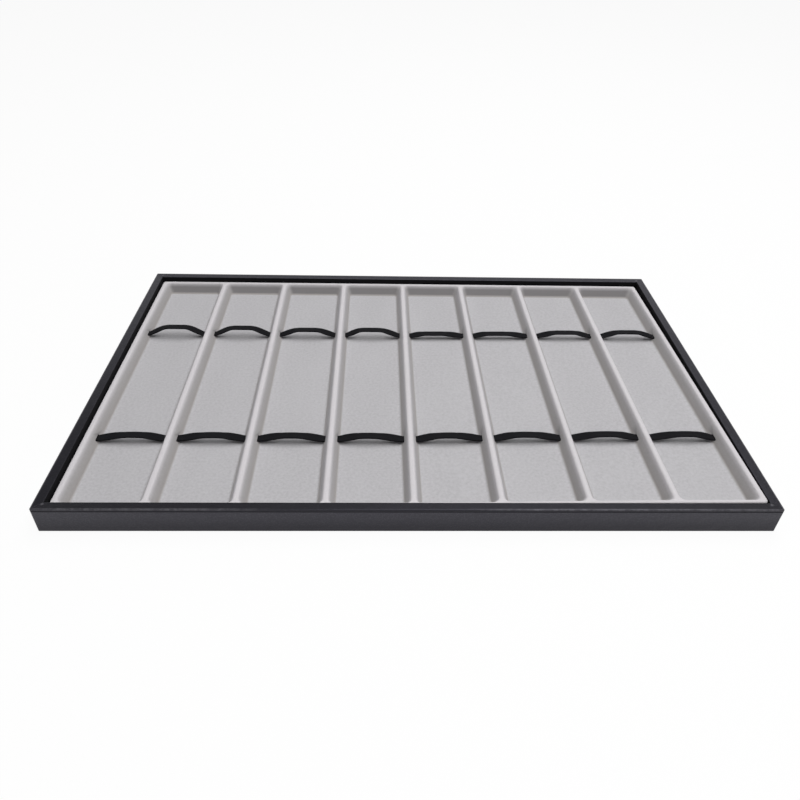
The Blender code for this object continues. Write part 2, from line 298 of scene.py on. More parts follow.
@dataclass(frozen=True)
class LeatheretteFinish:
    """Black imitation leather with a fine pebble grain.

    Its colour holds painted light and shade: the outer sides are paler across their middle height,
    with painted shade towards the ground and under the groove, the top is painted paler towards
    the rear, and the outer top edge and the tucks are paler, partly edge wear and partly a painted
    highlight. Each of these changes between two places: heights above the ground, depths below the
    rim's top, or distances in from its outer side.
    """

    name: str = "grained_leatherette"
    hollow: Color = (0.0022, 0.0021, 0.0034)
    crown: Color = (0.0720, 0.0700, 0.0830)
    # Paler colour of the outer top edge and the tucks: partly edge wear, partly a painted
    # highlight.
    edge_wear_and_highlight: Color = (0.0840, 0.0810, 0.0900)
    pebble: float = 1.00 * MM
    pebble_depth: float = 0.08 * MM
    pebble_edge: Point = (0.12, 0.62)
    cloud: float = 18.0 * MM
    crease: float = 6.0 * MM
    crease_depth: float = 0.20 * MM
    # Painted shade on the outer sides: they darken towards the ground below this span and again
    # under the groove in the next.
    painted_face_light: Point = (0.0, 15.0 * MM)
    groove_shade_band: Point = (15.3 * MM, 16.2 * MM)
    # Painted light: the span along Y over which the rim's top grows paler towards the rear.
    painted_rear_top_light: Point = (-130.0 * MM, 170.0 * MM)
    darkest: float = 0.12
    top_drop: Point = (1.2 * MM, 0.4 * MM)
    edge_drop: Point = (1.0 * MM, 0.4 * MM)
    edge_inset: Point = (0.5 * MM, 1.3 * MM)
    # A plain stretch of the top edge along X with neither edge wear nor painted highlight, and the
    # grain of their dashes.
    plain_gap_x: float = -25.0 * MM
    plain_gap_half: float = 95.0 * MM
    dash_grain: float = 3.0 * MM
    tuck_core: float = 0.2 * MM
    seam_half: float = 0.16 * MM
    seam_depth: float = 3.0

    def material(self, high: Vector, tuck_inset: Point, tuck_reach: float) -> Material:
        """Build the material.

        Args:
            high: The rim's highest corner, which places its edges and its mitres.
            tuck_inset: How far each tuck is from the rim's side and from its front or rear.
            tuck_reach: How far a tuck reaches.

        Returns:
            The finished material.
        """
        graph = ShaderGraph(self.name, self.crown)
        x, y, z = graph.axes()
        pebbles = 1.0 - graph.cells(self.pebble).fade(*self.pebble_edge)
        # Painted light and shade: the outer sides are paler across their middle height, darker
        # towards the ground and just under the groove; the top stays at the darkest level.
        painted_face_light = z.fade(*self.painted_face_light) * (1.0 - z.fade(*self.groove_shade_band))
        # Painted light: the rim's top is paler towards the rear.
        painted_rear_top_light = y.fade(*self.painted_rear_top_light) * self._near_top(z, high, self.top_drop)
        # The painted light and shade of sides and top, never below the darkest level.
        paler = self.darkest + (painted_face_light + painted_rear_top_light * 0.8) * (1.0 - self.darkest)
        base = graph.blend((pebbles * 0.2 + 0.48) * paler, self.hollow, self.crown)

        inset = graph.math("MINIMUM", high.x - x.size(), high.y - y.size())
        near_edge = self._near_top(z, high, self.edge_drop)
        edge = (1.0 - inset.fade(*self.edge_inset)) * near_edge
        # The outer top edge is paler in dashes, partly edge wear and partly a painted highlight,
        # except in a plain stretch.
        away_from_plain_gap = (x - self.plain_gap_x).size().fade(0.5 * self.plain_gap_half, self.plain_gap_half)
        wear_and_highlight_dashes = away_from_plain_gap * (0.45 + graph.noise(self.dash_grain, 3.0).fade(0.35, 0.65) * 0.55)
        # Painted highlight on the raised tuck at the inner end of each mitre.
        from_x = x.size() - (high.x - tuck_inset[0])
        from_y = y.size() - (high.y - tuck_inset[1])
        from_tuck = (from_x * from_x + from_y * from_y).root()
        tuck = (1.0 - from_tuck.fade(self.tuck_core, tuck_reach)) * near_edge
        edge_wear_and_highlight = graph.math("MAXIMUM", edge * wear_and_highlight_dashes, tuck * 0.9)

        mitre = (x.size() - y.size() - (high.x - high.y)).size()
        seam = (1.0 - mitre.fade(0.0, self.seam_half)) * self.seam_depth
        creases = graph.noise(self.crease, 2.0) * (self.crease_depth / self.pebble_depth)
        relief = pebbles * 0.45 + creases - seam
        return graph.finish({
            "Base Color": graph.blend(edge_wear_and_highlight, base, self.edge_wear_and_highlight),
            "Roughness": 0.32 + graph.noise(self.cloud, 3.0) * 0.08 - pebbles * 0.05,
            "Specular IOR Level": 0.33,
            "Specular Tint": (0.86, 0.83, 1.0, 1.0),
            "Normal": graph.bump(relief, self.pebble_depth, 0.8),
        })

    def _near_top(self, height: Signal, high: Vector, drop: Point) -> Signal:
        """Return 1 at the rim's top and 0 below it, fading between two depths."""
        return height.fade(high.z - drop[0], high.z - drop[1])


@dataclass(frozen=True)
class InnerWallShadeFinish:
    """Dead black matt finish on the inner side of the rim, painted shade for the dark gap above the
    insert.
    """

    name: str = "inner_wall_shade"
    base: Color = (0.0035, 0.0034, 0.0040)
    fibre: Color = (0.0075, 0.0073, 0.0085)
    grain: float = 0.5 * MM
    relief: float = 0.03 * MM

    def material(self) -> Material:
        """Build the material.

        Returns:
            The finished material.
        """
        graph = ShaderGraph(self.name, self.base)
        grain = graph.noise(self.grain, 4.0)
        return graph.finish({
            "Base Color": graph.blend(grain.fade(0.3, 0.7), self.base, self.fibre),
            "Roughness": 0.80 + grain * 0.15,
            "Specular IOR Level": 0.12,
            "Normal": graph.bump(grain, self.relief, 0.6),
        })


@dataclass(frozen=True)
class FlockFinish:
    """Short grey velvet flock, paler along the lips, partly where the fibres stand up along an edge
    and partly as a painted highlight, with painted shade on its walls, darkest on the rear walls.
    """

    name: str = "velvet_flock"
    shade: Color = (0.412, 0.404, 0.417)
    base: Color = (0.506, 0.498, 0.514)
    # Paler lips: partly standing fibres, partly a painted highlight.
    edge: Color = (0.648, 0.624, 0.643)
    brushed: Color = (0.560, 0.555, 0.570)
    # Painted shade on the walls.
    painted_wall_shade: Color = (0.360, 0.338, 0.326)
    # Painted shade on the rear walls, which face the front.
    painted_rear_wall_shade: Color = (0.262, 0.253, 0.256)
    fibre: float = 0.22 * MM
    mottle: float = 1.8 * MM
    nap: float = 26.0 * MM
    relief: float = 0.14 * MM
    edge_share: float = 0.42
    wall_slope: Point = (0.01, 0.42)
    rear_slope: Point = (0.62, 1.10)

    def material(self) -> Material:
        """Build the material.

        Returns:
            The finished material.
        """
        graph = ShaderGraph(self.name, self.base)
        steep = graph.attribute(STEEPNESS)
        down = graph.attribute(DEPTH)
        fibres = graph.noise(self.fibre, 3.0)
        mottle = graph.noise(self.mottle, 4.0)
        nap = graph.noise(self.nap, 2.0, (1.0, 0.35, 1.0)).fade(0.35, 0.75)
        cover = graph.blend((fibres * 0.45 + mottle * 0.55).fade(0.30, 0.66), self.shade, self.base)
        napped = graph.blend(nap * 0.16, cover, self.brushed)
        # Painted shade: the walls are darker than the floor, the more so the deeper they go.
        wall = steep.fade(*self.wall_slope) * (0.15 + down * 0.85)
        walls = graph.blend(wall, napped, self.painted_wall_shade)
        # Painted shade: the rear walls are darker still.
        rear_shade = graph.blend(steep.fade(*self.rear_slope) * 0.9, walls, self.painted_rear_wall_shade)
        # The lips and flat top are paler, partly from standing fibres and partly as a painted
        # highlight.
        lighter = (1.0 - down.fade(0.0, self.edge_share)) * (0.72 + mottle * 0.4)
        return graph.finish({
            "Base Color": graph.blend(lighter, rear_shade, self.edge),
            "Roughness": 0.90 + fibres * 0.08,
            "Specular IOR Level": 0.12,
            "Sheen Weight": 0.25,
            "Sheen Roughness": 0.45,
            "Sheen Tint": (0.95, 0.95, 1.0, 1.0),
            "Normal": graph.bump(fibres * 0.6 + mottle * 0.4, self.relief, 0.55),
        })


@dataclass(frozen=True)
class ElasticFinish:
    """Flat black woven elastic, ribbed along its length."""

    name: str = "woven_elastic"
    valley: Color = (0.0030, 0.0029, 0.0038)
    yarn: Color = (0.0092, 0.0090, 0.0115)
    rib_pitch: float = 0.80 * MM
    pick_pitch: float = 0.55 * MM
    fuzz: float = 0.25 * MM
    relief: float = 0.07 * MM

    def material(self) -> Material:
        """Build the material.

        Returns:
            The finished material.
        """
        graph = ShaderGraph(self.name, self.yarn)
        x, y, _ = graph.axes()
        ribs = y.ribs(self.rib_pitch)
        picks = x.ribs(self.pick_pitch)
        fuzz = graph.noise(self.fuzz, 2.0)
        weave = ribs * 0.55 + picks * ribs * 0.25 + fuzz * 0.20
        return graph.finish({
            "Base Color": graph.blend(weave, self.valley, self.yarn),
            "Roughness": 0.72 + fuzz * 0.16,
            "Specular IOR Level": 0.12,
            "Sheen Weight": 0.02,
            "Sheen Roughness": 0.4,
            "Normal": graph.bump(weave, self.relief, 0.8),
        })


@dataclass(frozen=True)
class FeltFinish:
    """Thin black pressed felt."""

    name: str = "pressed_felt"
    deep: Color = (0.010, 0.010, 0.011)
    wool: Color = (0.030, 0.030, 0.033)
    strand: float = 0.6 * MM
    relief: float = 0.15 * MM

    def material(self) -> Material:
        """Build the material.

        Returns:
            The finished material.
        """
        graph = ShaderGraph(self.name, self.wool)
        strands = graph.noise(self.strand, 4.0, (1.0, 0.25, 1.0)) * 0.5
        crossed = graph.noise(self.strand, 4.0, (0.25, 1.0, 1.0)) * 0.5
        mat = strands + crossed
        return graph.finish({
            "Base Color": graph.blend(mat.fade(0.35, 0.65), self.deep, self.wool),
            "Roughness": 0.90 + mat * 0.10,
            "Specular IOR Level": 0.15,
            "Sheen Weight": 0.2,
            "Normal": graph.bump(mat, self.relief, 0.7),
        })


@dataclass(frozen=True)
class FibreboardFinish:
    """Raw brown fibreboard."""

    name: str = "raw_fibreboard"
    dark: Color = (0.29, 0.19, 0.11)
    light: Color = (0.43, 0.31, 0.20)
    chip: float = 0.9 * MM
    cloud: float = 22.0 * MM
    relief: float = 0.06 * MM

    def material(self) -> Material:
        """Build the material.

        Returns:
            The finished material.
        """
        graph = ShaderGraph(self.name, self.light)
        chips = graph.noise(self.chip, 4.0)
        tone = (chips * 0.7 + graph.noise(self.cloud, 2.0) * 0.3).fade(0.3, 0.7)
        return graph.finish({
            "Base Color": graph.blend(tone, self.dark, self.light),
            "Roughness": 0.78 + chips * 0.15,
            "Specular IOR Level": 0.25,
            "Normal": graph.bump(chips, self.relief, 0.6),
        })


def release_selection() -> None:
    """Leave edit mode and deselect every object."""
    if bpy.context.mode != "OBJECT":
        bpy.ops.object.mode_set(mode="OBJECT")
    bpy.ops.object.select_all(action="DESELECT")


def take(piece: Piece, *others: Piece) -> None:
    """Select only the given objects.

    Args:
        piece: The object that becomes the active one.
        others: The objects to select with it.
    """
    release_selection()
    bpy.context.view_layer.objects.active = piece
    for chosen in (piece, *others):
        chosen.select_set(True)


def named(name: str, scale: Sequence[float]) -> Piece:
    """Name and scale the shape that was just added.

    Args:
        name: The new object's name.
        scale: Its scale, which goes into its mesh.

    Returns:
        The new object, unturned and unscaled at the origin.
    """
    shape = bpy.context.active_object
    shape.name = name
    shape.scale = scale
    take(shape)
    bpy.ops.object.transform_apply(location=True, rotation=True, scale=True)
    return shape


def add_plate(name: str, size: Point, centre: Vector) -> Piece:
    """Add a level rectangle.

    Args:
        name: The new object's name.
        size: Its length along X and Y.
        centre: Its middle.

    Returns:
        The new object.
    """
    release_selection()
    bpy.ops.mesh.primitive_plane_add(size=1.0, location=centre)
    return named(name, (*size, 1.0))


def add_block(name: str, low: Vector, high: Vector) -> Piece:
    """Add a block between two corners.

    Args:
        name: The new object's name.
        low: Its lowest corner.
        high: Its highest corner.

    Returns:
        The new object.
    """
    release_selection()
    bpy.ops.mesh.primitive_cube_add(size=1.0, location=(low + high) / 2.0)
    return named(name, high - low)


def apply_modifier(piece: Piece, kind: str, **settings: object) -> None:
    """Add one modifier and apply it.

    Args:
        piece: The object to change.
        kind: The modifier's type.
        settings: The modifier's settings.
    """
    take(piece)
    modifier = piece.modifiers.new(kind.lower(), kind)
    for name, value in settings.items():
        setattr(modifier, name, value)
    bpy.ops.object.modifier_apply(modifier=modifier.name)


def smooth(piece: Piece, angle: float) -> None:
    """Shade a piece smooth, with large faces kept flat.

    Args:
        piece: The object to shade.
        angle: The sharpest angle, in degrees, that is shaded smooth.
    """
    take(piece)
    bpy.ops.object.shade_smooth_by_angle(angle=math.radians(angle))
    apply_modifier(piece, "WEIGHTED_NORMAL", keep_sharp=True, weight=80)


def copy_of(piece: Piece, name: str, shift: Vector) -> Piece:
    """Copy a piece, with its own mesh.

    Args:
        piece: The object to copy.
        name: The copy's name.
        shift: How far the copy's mesh is moved.

    Returns:
        The copy.
    """
    twin = piece.copy()
    twin.data = piece.data.copy()
    twin.name = name
    bpy.context.scene.collection.objects.link(twin)
    twin.data.transform(Matrix.Translation(shift))
    return twin


def discard(piece: Piece) -> None:
    """Remove a helper object."""
    bpy.data.objects.remove(piece, do_unlink=True)


def join(pieces: Sequence[Piece]) -> None:
    """Join objects into the mesh of the first."""
    take(*pieces)
    bpy.ops.object.join()


def dress(piece: Piece, *finishes: Material) -> None:
    """Give a piece its materials.

    Args:
        piece: The object to dress.
        finishes: Its materials, in slot order.
    """
    piece.data.materials.clear()
    for finish in finishes:
        piece.data.materials.append(finish)


def drop(edge: Edge) -> float:
    """Return how far apart in height an edge's two ends are."""
    return abs(edge.verts[0].co.z - edge.verts[1].co.z)


def lies_at(edge: Edge, height: float) -> bool:
    """Say whether an edge lies level at a height."""
    return all(abs(vertex.co.z - height) < TOUCH for vertex in edge.verts)


class EditSession:
    """Edit mode on one mesh, with picks made by place or by normal."""

    def __init__(self, piece: Piece) -> None:
        """Remember the object to edit."""
        self.piece = piece

    def __enter__(self) -> EditSession:
        """Open the object in edit mode.

        Returns:
            The session itself.
        """
        take(self.piece)
        bpy.ops.object.mode_set(mode="EDIT")
        return self

    def __exit__(self, *problem: object) -> None:
        """Go back to object mode."""
        bpy.ops.object.mode_set(mode="OBJECT")

    def pick_all(self, part: Part) -> None:
        """Select every element of one kind."""
        bpy.ops.mesh.select_mode(type=part.value)
        bpy.ops.mesh.select_all(action="SELECT")

    def pick(self, part: Part, test: Callable[[object], bool]) -> int:
        """Select the elements that pass a test, and nothing else.

        Args:
            part: The kind of element.
            test: Says whether an element is wanted.

        Returns:
            How many were selected.
        """
        bpy.ops.mesh.select_mode(type=part.value)
        bpy.ops.mesh.select_all(action="DESELECT")
        mesh = bmesh.from_edit_mesh(self.piece.data)
        elements = {Part.VERTEX: mesh.verts, Part.EDGE: mesh.edges, Part.FACE: mesh.faces}[part]
        wanted = [element for element in elements if test(element)]
        for element in wanted:
            element.select_set(True)
        mesh.select_flush_mode()
        bmesh.update_edit_mesh(self.piece.data)
        return len(wanted)

    def inset(self, thickness: float, rise: float = 0.0) -> None:
        """Inset the selected faces and move the inner ones along their normal."""
        bpy.ops.mesh.inset(
            thickness=thickness, depth=rise, use_boundary=True, use_even_offset=True
        )

    def open(self) -> None:
        """Delete the selected faces and keep their edges."""
        bpy.ops.mesh.delete(type="ONLY_FACE")

    def extrude(self, shift: Vector) -> None:
        """Extrude the selected faces along shift."""
        bpy.ops.mesh.extrude_region_move(TRANSFORM_OT_translate={"value": shift})

    def shrink(self, factors: Point, centre: Vector) -> None:
        """Scale the selected faces along X and Y about a centre."""
        bpy.ops.transform.resize(value=(*factors, 1.0), center_override=centre)

    def bevel(self, width: float, segments: int, part: Part = Part.EDGE) -> None:
        """Round the selected edges or corners."""
        ways = {"affect": "VERTICES" if part is Part.VERTEX else "EDGES", "clamp_overlap": True}
        bpy.ops.mesh.bevel(offset=width, segments=segments, profile=0.5, **ways)

    def cut(self, axis: int, places: Sequence[float]) -> None:
        """Cut the whole mesh by planes, leaving it in one piece.

        Args:
            axis: The axis that the planes stand across, from 0 for X to 2 for Z.
            places: Where each plane crosses that axis.
        """
        normal = Vector((0.0, 0.0, 0.0))
        normal[axis] = 1.0
        for place in places:
            self.pick_all(Part.FACE)
            bpy.ops.mesh.bisect(plane_co=normal * place, plane_no=normal)

    def face_outwards(self) -> None:
        """Turn every face of a closed shape outwards."""
        self.pick_all(Part.FACE)
        bpy.ops.mesh.normals_make_consistent(inside=False)

    def follow(self, profile: Sequence[Point]) -> None:
        """Inset the selected face step by step along (inset, height) points."""
        for (inset, height), (next_inset, next_height) in zip(profile, profile[1:]):
            self.inset(next_inset - inset, next_height - height)


def arc(start: float, end: float, steps: int) -> list[float]:
    """Return evenly spaced angles from start to end, both included."""
    return [start + (end - start) * step / steps for step in range(steps + 1)]


def spaced(low: float, high: float, gap: float) -> list[float]:
    """Return places between low and high, about gap apart and clear of both ends."""
    count = max(int((high - low) / gap), 1)
    return [low + (high - low) * (index + 0.5) / count for index in range(count)]


def mirrored(places: Sequence[float]) -> list[float]:
    """Return places on the left and the same places on the right."""
    return [side * place for side in SIDES for place in places]


def ripple(point: Vector, wavelength: float, seed: float) -> float:
    """Work out a gentle wave along the rim, the same on each run.

    Args:
        point: Where on the rim.
        wavelength: The length of its longest wave.
        seed: Where the waves start.

    Returns:
        The wave there, from -1 to 1.
    """
    turn = FULL_TURN / wavelength
    first = math.sin(turn * (point.x + 0.7 * point.y) + seed)
    second = math.sin(turn * 2.3 * (point.y - 0.6 * point.x) + 1.9 * seed)
    third = math.sin(turn * 4.1 * (point.x - point.y) + 2.7 * seed)
    return (first + 0.6 * second + 0.4 * third) / 2.0


@dataclass
class WrappedRim:
    """The rim's covering: sides with a groove under the rolled edge, top, inner wall and flaps."""

    low: Vector
    high: Vector
    seat: float
    rim_width: float = 6.0 * MM
    turn_in: float = 10.0 * MM
    skin: float = 0.65 * MM
    edge_radius: float = 0.90 * MM
    inner_radius: float = 0.30 * MM
    hem_radius: float = 0.15 * MM
    corner_radius: float = 0.95 * MM
    corner_height: float = 5.0 * MM
    groove_drop: float = 1.60 * MM
    groove_height: float = 0.45 * MM
    groove_depth: float = 0.30 * MM
    groove_slope: float = 0.15
    sink: float = 0.30 * MM
    top_depth: float = 1.0 * MM
    tuck_reach: float = 1.3 * MM
    tuck_rise: float = 0.30 * MM
    tuck_inset: Point = (5.9 * MM, 4.1 * MM)
    tuck_cuts: tuple[float, ...] = in_mm(-1.35, -0.9, -0.45, 0.0, 0.45, 0.9, 1.35)
    waviness: float = 0.03 * MM
    wavelength: float = 61.0 * MM
    wave_start: float = 1.3
    cut_gap: float = 9.0 * MM
    cut_margin: float = 4.0 * MM
    smooth_angle: float = 40.0
    wrap: Piece = field(init=False)

    def build(self) -> Piece:
        """Model the covering as one skin.

        Returns:
            The finished piece.
        """
        self.wrap = add_block("rim_wrap", self.low, self.high)
        self._open_up()
        self._round_corners()
        self._press_groove()
        self._round_edges()
        self._cut_for_detail()
        self._raise_tucks()
        apply_modifier(
            self.wrap, "SOLIDIFY", thickness=self.skin, offset=-1.0, use_even_offset=True
        )
        smooth(self.wrap, self.smooth_angle)
        return self.wrap

    def _open_up(self) -> None:
        """Sink the inside, and open it and the underside."""
        with EditSession(self.wrap) as bench:
            bench.pick(Part.FACE, lambda face: face.normal.z > FACES_UP)
            bench.inset(self.rim_width)
            bench.extrude(Vector((0.0, 0.0, self.seat - self.high.z)))
            bench.open()
            bench.pick(Part.FACE, lambda face: face.normal.z < -FACES_UP)
            bench.inset(self.turn_in)
            bench.open()

    def _inset_of(self, point: Vector) -> float:
        """Return how far a point is in from the nearest outer side."""
        return min(self.high.x - abs(point.x), self.high.y - abs(point.y))

    def _is_outer(self, *points: Vector) -> bool:
        """Say whether points lie in the outer half of the rim."""
        return all(self._inset_of(point) < 0.5 * self.rim_width for point in points)

    def _is_corner(self, edge: Edge) -> bool:
        """Say whether an edge stands upright at one of the four outer corners."""
        off = max(self.high.x - abs(edge.verts[0].co.x), self.high.y - abs(edge.verts[0].co.y))
        return drop(edge) > self.corner_height and off < TOUCH

    def _turns(self, edge: Edge, height: float) -> bool:
        """Say whether an edge at a height joins a level face to an upright one."""
        tilts = sorted(abs(face.normal.z) for face in edge.link_faces)
        return lies_at(edge, height) and len(tilts) == 2 and tilts[0] < STANDS < FACES_UP < tilts[1]

    def _turns_outwards(self, edge: Edge) -> bool:
        """Say whether an edge runs round the top of the outer sides."""
        ends = (vertex.co for vertex in edge.verts)
        return self._turns(edge, self.high.z) and self._is_outer(*ends)

    def _round_corners(self) -> None:
        """Round the four upright corners."""
        with EditSession(self.wrap) as bench:
            bench.pick(Part.EDGE, self._is_corner)
            bench.bevel(self.corner_radius, segments=4)

    def _press_groove(self) -> None:
        """Press a groove into the outer sides, all round, just under the rolled edge."""
        upper = self.high.z - self.groove_drop
        lower = upper - self.groove_height
        with EditSession(self.wrap) as bench:
            bench.cut(2, (lower, upper))
            bench.pick(
                Part.FACE,
                lambda face: lower < face.calc_center_median().z < upper
                and self._is_outer(face.calc_center_median()),
            )
            bench.inset(self.groove_slope * self.groove_height, -self.groove_depth)

    def _round_edges(self) -> None:
        """Round the long edges above and below."""
        with EditSession(self.wrap) as bench:
            bench.pick(Part.EDGE, self._turns_outwards)
            bench.bevel(self.edge_radius, segments=5)
            bench.pick(
                Part.EDGE,
                lambda edge: self._turns(edge, self.high.z) and not self._turns_outwards(edge),
            )
            bench.bevel(self.inner_radius, segments=3)
            bench.pick(Part.EDGE, lambda edge: self._turns(edge, self.low.z))
            bench.bevel(self.hem_radius, segments=3)

    def _cut_for_detail(self) -> None:
        """Cut the skin across, closely at the corners, so that it can take waves and tucks."""
        with EditSession(self.wrap) as bench:
            for axis in (0, 1):
                tuck = self.high[axis] - self.tuck_inset[axis]
                end = self.high[axis] - self.rim_width - self.cut_margin
                bench.cut(axis, mirrored([tuck + step for step in self.tuck_cuts]))
                bench.cut(axis, spaced(-end, end, self.cut_gap))

    def _raise_tucks(self) -> None:
        """Let the top fall a little inwards in gentle waves, with the folds standing up."""
        corner_x = self.high.x - self.tuck_inset[0]
        corner_y = self.high.y - self.tuck_inset[1]
        flat = self.rim_width - self.edge_radius
        for vertex in self.wrap.data.vertices:
            inward = (self._inset_of(vertex.co) - self.edge_radius) / flat
            if inward < 0.0 or vertex.co.z < self.high.z - self.top_depth:
                continue
            wave = 1.0 - ripple(vertex.co, self.wavelength, self.wave_start)
            fall = self.sink * inward + self.waviness * wave * min(inward * 4.0, 1.0)
            away = math.hypot(abs(vertex.co.x) - corner_x, abs(vertex.co.y) - corner_y)
            if away < self.tuck_reach:
                fold = 0.5 + 0.5 * math.cos(math.pi * away / self.tuck_reach)
                fall -= self.tuck_rise * fold
            vertex.co.z -= max(fall, 0.0)

    def shade_inner_wall(self) -> int:
        """Give the inner wall the second material, the matt black painted shade.

        Returns:
            How many faces it has.
        """
        inner = self.rim_width - self.skin - TOUCH
        wall = [
            face
            for face in self.wrap.data.polygons
            if self._inset_of(face.center) > inner
            and face.center.z > self.seat - TOUCH
            and abs(face.normal.z) < 0.5
        ]
        for face in wall:
            face.material_index = 1
        return len(wall)


@dataclass
class CornerCreep:
    """How the insert has crept in its seat.

    It has risen towards its front right corner and swayed to the right, less so where it is
    seated at the front left. Its right half is drawn in towards the rear.
    """

    half_x: float
    half_y: float
    rise: float = 3.9 * MM
    sway: float = 1.0 * MM
    nudge: float = 0.36 * MM
    drawn_in: float = 2.0 * MM
    drawn_from: float = -12.0 * MM
    seated_from: float = -50.0 * MM
    seated_reach: float = 100.0 * MM
    rise_power: float = 1.8
    sway_rear: float = 0.55
    sway_gain: float = 0.45
    seated_share: float = 0.9
    drawn_power: int = 5
    drawn_slack: float = 0.3

    def shift(self, point: Vector) -> Vector:
        """Work out how far a point of the insert has moved.

        Args:
            point: The point as it was formed.

        Returns:
            Its shift.
        """
        across = unit(point.x / self.half_x)
        along = unit((self.half_y - point.y) / (2.0 * self.half_y))
        lift = self.rise * (1.0 - (1.0 - across) ** self.rise_power) * along
        bowed = 1.0 - (point.x / self.half_x) ** 2
        sideways = self.sway * bowed * (self.sway_rear + self.sway_gain * along)
        seated = unit((self.seated_from - point.x) / self.seated_reach)
        sideways *= 1.0 - self.seated_share * seated * along
        reach = unit((point.x - self.drawn_from) / (self.half_x - self.drawn_from))
        pulled = self.drawn_in * (1.0 - (1.0 - reach) ** self.drawn_power)
        drawn = pulled * (1.0 - self.drawn_slack * reach) * (1.0 - along)
        return Vector((sideways + self.nudge * across - drawn, -self.nudge * across * along, lift))

    def apply(self, piece: Piece) -> None:
        """Move every vertex of a piece.

        Args:
            piece: The object to move.
        """
        for vertex in piece.data.vertices:
            vertex.co += self.shift(vertex.co)
        piece.data.update()


